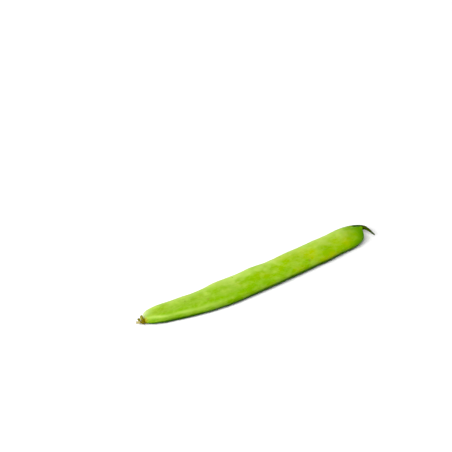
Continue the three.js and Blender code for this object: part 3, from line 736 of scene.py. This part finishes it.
    # the corky ring at the joint, the dark end of the suture and the drying beak
    corky = m.mix(m.remap(grain, 0.35, 0.7, 0, 1), (0.175, 0.155, 0.008), (0.340, 0.305, 0.030))
    base = m.mix(m.math("MULTIPLY", neck, 0.92), base, corky)
    base = m.mix(m.math("MULTIPLY", end, m.remap(m.attr("strands"), 0.25, 0.80, 0.96, 0.80)), base, (0.020, 0.054, 0.002))
    dry = m.ramp(m.attr("strands"), [(0.20, (0.010, 0.024, 0.003)), (0.50, (0.022, 0.040, 0.005)), (0.72, (0.052, 0.060, 0.014)), (0.95, (0.095, 0.085, 0.030))])
    base = m.mix(beak, base, dry)
    m.link(base, m.bsdf.inputs["Base Color"])

    rough = m.remap(m.noise(even, 330, 3.0, 0.6), 0.3, 0.7, 0.38, 0.52)
    rough = m.math("ADD", rough, m.math("MULTIPLY", m.math("MAXIMUM", neck, beak), 0.25), clamp=True)
    m.link(rough, m.bsdf.inputs["Roughness"])
    m.bsdf.inputs["Specular IOR Level"].default_value = 0.10
    m.bsdf.inputs["Specular Tint"].default_value = (0.85, 1.0, 0.45, 1)
    m.bsdf.inputs["Subsurface Weight"].default_value = 0.12
    m.bsdf.inputs["Subsurface Radius"].default_value = (0.45, 1.0, 0.12)
    m.bsdf.inputs["Subsurface Scale"].default_value = 0.0010

    pebble = m.noise(even, 2300, 2.0, 0.5)
    net = m.remap(web, 0.0, 0.14, 1.0, 0.0)
    n1 = m.bump(net, 0.00005, 0.45)
    n2 = m.bump(fibre, 0.00006, 0.50, n1)
    n3 = m.bump(pebble, 0.00007, 0.75, n2)
    m.link(n3, m.bsdf.inputs["Normal"])
    return m.mat


def dried(name, light, mid_tone, dark, tip_attr, deep_attr):
    m = Nodes(name)
    even = m.coords()
    coarse, fine_n = m.noise(even, 900, 4.0, 0.6), m.noise(even, 3800, 3.0, 0.6)
    streak = m.noise(m.coords((0.25, 1, 1)), 2600, 3.0, 0.6)
    base = m.mix(m.remap(coarse, 0.32, 0.68, 0, 1), mid_tone, light)
    base = m.mix(m.remap(streak, 0.45, 0.75, 0, 0.65), base, dark)
    base = m.mix(m.remap(fine_n, 0.5, 0.8, 0, 0.35), base, light)
    tip = m.attr(tip_attr)
    base = m.mix(m.remap(tip, 0.55, 1.0, 0, 0.75), base, dark)
    # darker where deep_attr is set: on the calyx the inner face of the cup, which is painted shade; on the bracts the
    # edges and on the stalk the break, which are their dry colour
    deep = m.attr(deep_attr)
    base = m.mix(m.math("MULTIPLY", deep, 0.55), base, dark)
    m.link(base, m.bsdf.inputs["Base Color"])
    m.link(m.remap(coarse, 0.3, 0.7, 0.62, 0.85), m.bsdf.inputs["Roughness"])
    m.bsdf.inputs["Specular IOR Level"].default_value = 0.14
    m.bsdf.inputs["Specular Tint"].default_value = (1.0, 0.92, 0.55, 1)
    m.bsdf.inputs["Sheen Weight"].default_value = 0.04
    m.bsdf.inputs["Sheen Tint"].default_value = (1.0, 0.90, 0.55, 1)
    n1 = m.bump(streak, 0.00010, 0.6)
    n2 = m.bump(fine_n, 0.00006, 0.6, n1)
    m.link(n2, m.bsdf.inputs["Normal"])
    return m.mat


pod.data.materials.append(fresh_skin())
calyx.data.materials.append(dried("dried_calyx", (0.124, 0.098, 0.006), (0.066, 0.051, 0.002), (0.024, 0.017, 0.001), "tip", "inside"))
for b in bracts:
    b.data.materials.append(dried("dried_bract_" + b.name, (0.244, 0.228, 0.034), (0.170, 0.157, 0.016), (0.073, 0.062, 0.006), "run", "edge"))
pedicel.data.materials.append(dried("dried_stalk", (0.400, 0.350, 0.160), (0.270, 0.235, 0.085), (0.130, 0.105, 0.030), "broken", "broken"))

# ------------------------------------------------------------------ floor, light and camera
floor_mesh = bpy.data.meshes.new("floor")
segments, radius = 96, 7.0
ring = [(radius * math.cos(2 * math.pi * i / segments), radius * math.sin(2 * math.pi * i / segments), 0.0) for i in range(segments)]
floor_mesh.from_pydata(ring, [], [list(range(segments))])
floor = bpy.data.objects.new("floor", floor_mesh)
bpy.context.scene.collection.objects.link(floor)
fm = Nodes("pale_floor")
fm.bsdf.inputs["Base Color"].default_value = (0.66, 0.66, 0.66, 1)
fm.bsdf.inputs["Roughness"].default_value = 0.85
fm.bsdf.inputs["Specular IOR Level"].default_value = 0.1
floor_mesh.materials.append(fm.mat)

world = bpy.data.worlds.new("studio")
world.use_nodes = True
world.node_tree.nodes["Background"].inputs["Color"].default_value = (1.0, 1.0, 1.0, 1)
world.node_tree.nodes["Background"].inputs["Strength"].default_value = 0.28
bpy.context.scene.world = world


def area_light(name, place, target, size, power, color=(1, 1, 1)):
    data = bpy.data.lights.new(name, "AREA")
    data.shape = "RECTANGLE"
    data.size, data.size_y = size
    data.energy = power
    data.color = color
    obj = bpy.data.objects.new(name, data)
    bpy.context.scene.collection.objects.link(obj)
    place, target = np.array(place), np.array(target)
    z = unit(place - target)
    x = unit(np.cross([0.0, 0.0, 1.0], z)) if abs(z[2]) < 0.999 else np.array([1.0, 0, 0])
    y = np.cross(z, x)
    from mathutils import Matrix
    M = Matrix(((x[0], y[0], z[0], place[0]), (x[1], y[1], z[1], place[1]), (x[2], y[2], z[2], place[2]), (0, 0, 0, 1)))
    obj.matrix_world = M
    return obj


area_light("top_softbox", (-0.85, -0.50, 1.46), (0, 0, 0), (1.4, 1.4), 34.5)
area_light("left_softbox", (-1.38, -0.05, 0.82), (0, 0, 0), (0.45, 1.0), 31.5)
area_light("right_fill", (1.25, -0.35, 0.50), (0, 0, 0), (0.8, 0.8), 4.5)
area_light("back_strip", (0.10, 0.95, 0.42), (0, 0, 0), (1.4, 0.5), 7.0)

cam_data = bpy.data.cameras.new("camera")
cam_data.lens = 85.0
cam_data.sensor_width = 36.0
cam_data.clip_start = 0.01
camera = bpy.data.objects.new("camera", cam_data)
bpy.context.scene.collection.objects.link(camera)


def aim(obj, place, target):
    from mathutils import Matrix
    place, target = np.array(place), np.array(target)
    z = unit(place - target)
    x = unit(np.cross([0.0, 0.0, 1.0], z))
    y = np.cross(z, x)
    obj.matrix_world = Matrix(((x[0], y[0], z[0], place[0]), (x[1], y[1], z[1], place[1]), (x[2], y[2], z[2], place[2]), (0, 0, 0, 1)))


aim(camera, (np.array([-229.597, -515.808, 565.416]) + SHIFT) * MM, (np.array([108.136, 67.283, 0.0]) + SHIFT) * MM)
bpy.context.scene.camera = camera
bpy.context.scene.view_settings.view_transform = "Standard"
bpy.context.scene.view_settings.look = "None"
# a photographer's levels: the darkest tones are set to black, which also clears the haze from the greens
view = bpy.context.scene.view_settings
view.use_curve_mapping = True
view.curve_mapping.black_level = (0.018, 0.018, 0.018)
view.curve_mapping.update()
